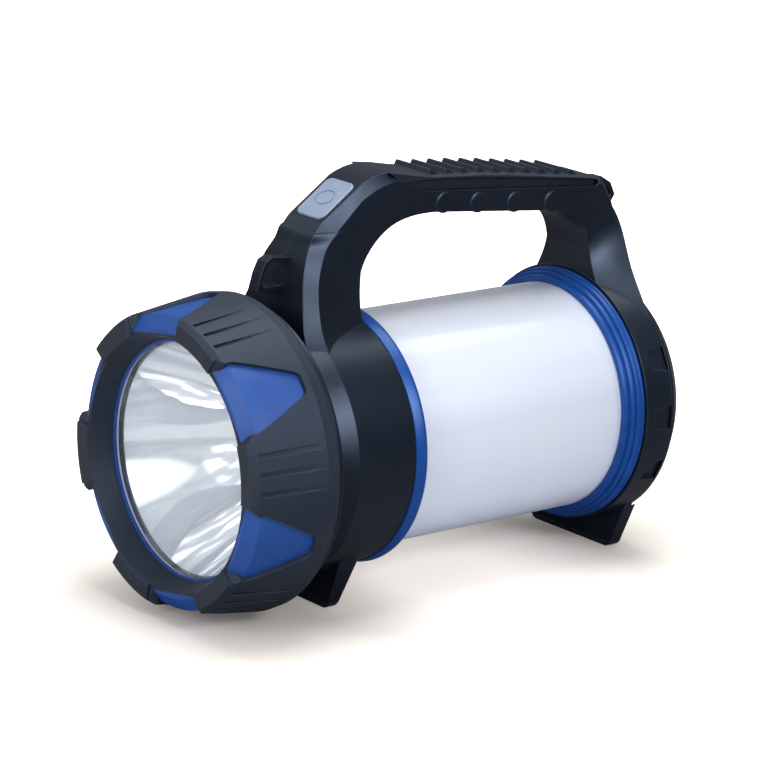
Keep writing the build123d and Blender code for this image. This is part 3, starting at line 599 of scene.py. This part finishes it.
step_width = (bowl_hole_radius - bowl_mouth_radius) / bowl_steps
radii = [bowl_mouth_radius + step_width * step for step in range(bowl_steps + 1)]
mirror = [(radius, bowl_along(radius)) for radius in radii]
shell = [(radius + bowl_wall, along) for radius, along in reversed(mirror) if along > flange_back]
rim = [(shell[-1][0], flange_back), (flange_radius, flange_back), (flange_radius, bowl_mouth)]
bowl = turned("reflector_bowl", mirror + shell + rim, "housing", "reflector")
finish = Skin("reflector_chrome")
haze = finish.noise(haze_size, 2.0)
ripple = finish.noise(ripple_size, 2.0)
bowl.data.materials.append(finish.surface(
    Base_Color=finish.blend(haze, plating_dark, plating_light), Metallic=1.0, Roughness=0.02 + 0.03 * haze,
    Normal=finish.bump(ripple, ripple_depth)))

# Lens seal: pale silicone ring, moulded, between the bezel's lip and the lens; its inner
# edge shows as a thin light line round the lens.

silicone_dark = (0.62, 0.65, 0.70)
silicone_light = (0.72, 0.75, 0.80)
seal_width = 0.0034
seal_rounding = 0.0003


def cloudy(name, dark, light, size, detail, roughness, drift, depth=None, stretch=(1.0, 1.0, 1.0), **values):
    """Plain finish whose colour, roughness and relief all drift with one cloudy pattern."""
    finish = Skin(name)
    cloud = finish.noise(size, detail, stretch=stretch)
    return finish.surface(Base_Color=finish.blend(cloud, dark, light), Roughness=roughness + drift * cloud,
                          Normal=finish.bump(cloud, depth) if depth else None, **values)


seal_low, seal_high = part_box("lens_gasket")
seal_radius = seal_high[0]
seal_inside = seal_radius - seal_width
seal_outline = [(seal_radius, seal_low[1]), (seal_radius, seal_high[1]),
                (seal_inside, seal_high[1]), (seal_inside, seal_low[1])]
seal = turned("lens_seal", seal_outline, "bezel", "lens_gasket", rounding=seal_rounding)
seal.data.materials.append(cloudy("seal_silicone", silicone_dark, silicone_light, size=0.003, detail=3.0,
                                  roughness=0.30, drift=0.15, depth=0.00003))

# Lens: clear flat disc, cut from sheet and held between the seal and the bowl's flange.
# Head on it is nearly unseen, and it mirrors more at a slant.

lens_tint = (0.9, 0.95, 1.0, 1.0)
lens_index = 1.45
lens_smear = 0.03

finish = Skin("clear_lens")
smear = finish.noise(lens_smear, 3.0)
slant = finish.node("Fresnel", {}, {"IOR": lens_index})
paint(finish.surface(Base_Color=lens_tint, Roughness=0.02 + 0.03 * smear, Specular_IOR_Level=0.6,
                     Alpha=0.02 + 0.5 * slant), "lens")

# Column, bulkheads, battery carrier and bezel washer: plain white mouldings inside the lamp.
# The bulkheads close the tube's ends, the column stands between them with the carrier in
# its bore, and the washer lies behind the bezel.

white_dark = (0.72, 0.72, 0.71)
white_light = (0.82, 0.82, 0.81)
white_cloud = 0.02
white_grain = 0.0005
white_depth = 0.00002

finish = Skin("white_plastic")
cloud = finish.noise(white_cloud, 3.0)
paint(finish.surface(Base_Color=finish.blend(cloud, white_dark, white_light), Roughness=0.4 + 0.1 * cloud,
                     Normal=finish.bump(finish.grains(white_grain), white_depth)),
      "core_column", "front_bulkhead", "back_bulkhead", "battery_carrier", "bezel_washer")

# Boards: glass laminate under green lacquer that shows its copper traces. The strips are
# fixed along the column, and the control board lies under the button.

lacquer_dark = (0.012, 0.10, 0.045)
lacquer_light = (0.02, 0.17, 0.08)
trace_size = 0.0016
trace_depth = 0.00003

finish = Skin("board_green")
traces = finish.noise(trace_size, 1.0)
lacquer = finish.mottled(traces, lacquer_dark, lacquer_light, low=0.48, high=0.52)
paint(finish.surface(Base_Color=lacquer, Roughness=0.3 + 0.1 * traces,
                     Normal=finish.bump(traces, trace_depth)), "strip_boards", "control_board")

# Light chips and lamp emitter: glossy resin over yellow phosphor, soldered to their boards.
# The chips sit in rows on the strips, and the emitter in the hole of the bowl.

phosphor_dark = (0.80, 0.58, 0.10)
phosphor_light = (0.90, 0.72, 0.22)
paint(cloudy("emitter_yellow", phosphor_dark, phosphor_light, size=0.001, detail=2.0,
             roughness=0.3, drift=0.1, Coat_Weight=0.6), "strip_chips", "lamp_emitter")

# Heat sink and lamp board: bare aluminium with drawing marks along the lamp. The board lies
# flat on the sink behind the bowl.

aluminium_dark = (0.62, 0.63, 0.65)
aluminium_light = (0.74, 0.75, 0.77)
paint(cloudy("sink_aluminium", aluminium_dark, aluminium_light, size=0.0008, detail=2.0,
             stretch=(1.0, 0.05, 1.0), roughness=0.32, drift=0.15, depth=0.00003, Metallic=1.0),
      "heat_sink", "lamp_board")

# Contacts: slightly tarnished brass, stamped as discs for the carrier and wound as springs
# for the end cap, where plain tubes stand for the springs.

brass_dark = (0.62, 0.48, 0.22)
brass_light = (0.78, 0.64, 0.34)
paint(cloudy("contact_metal", brass_dark, brass_light, size=0.002, detail=3.0,
             roughness=0.25, drift=0.2, depth=0.00002, Metallic=1.0), "carrier_contacts", "cap_contact")

# Cells: three large round cells in plain grey shrunk jackets, side by side in the carrier,
# which they go into from the back.

jacket_dark = (0.20, 0.22, 0.25)
jacket_light = (0.26, 0.28, 0.31)
paint(cloudy("cell_jacket", jacket_dark, jacket_light, size=0.01, detail=3.0,
             roughness=0.25, drift=0.1, depth=0.00002, Coat_Weight=0.3), "battery_cells")

# Case screws: four bright steel screws with turning marks, driven in from the far side to
# hold the housing halves together.

steel_dark = (0.42, 0.42, 0.43)
steel_light = (0.56, 0.56, 0.57)
paint(cloudy("screw_steel", steel_dark, steel_light, size=0.0006, detail=2.0,
             stretch=(0.1, 1.0, 1.0), roughness=0.3, drift=0.2, depth=0.00002, Metallic=1.0), "case_screws")
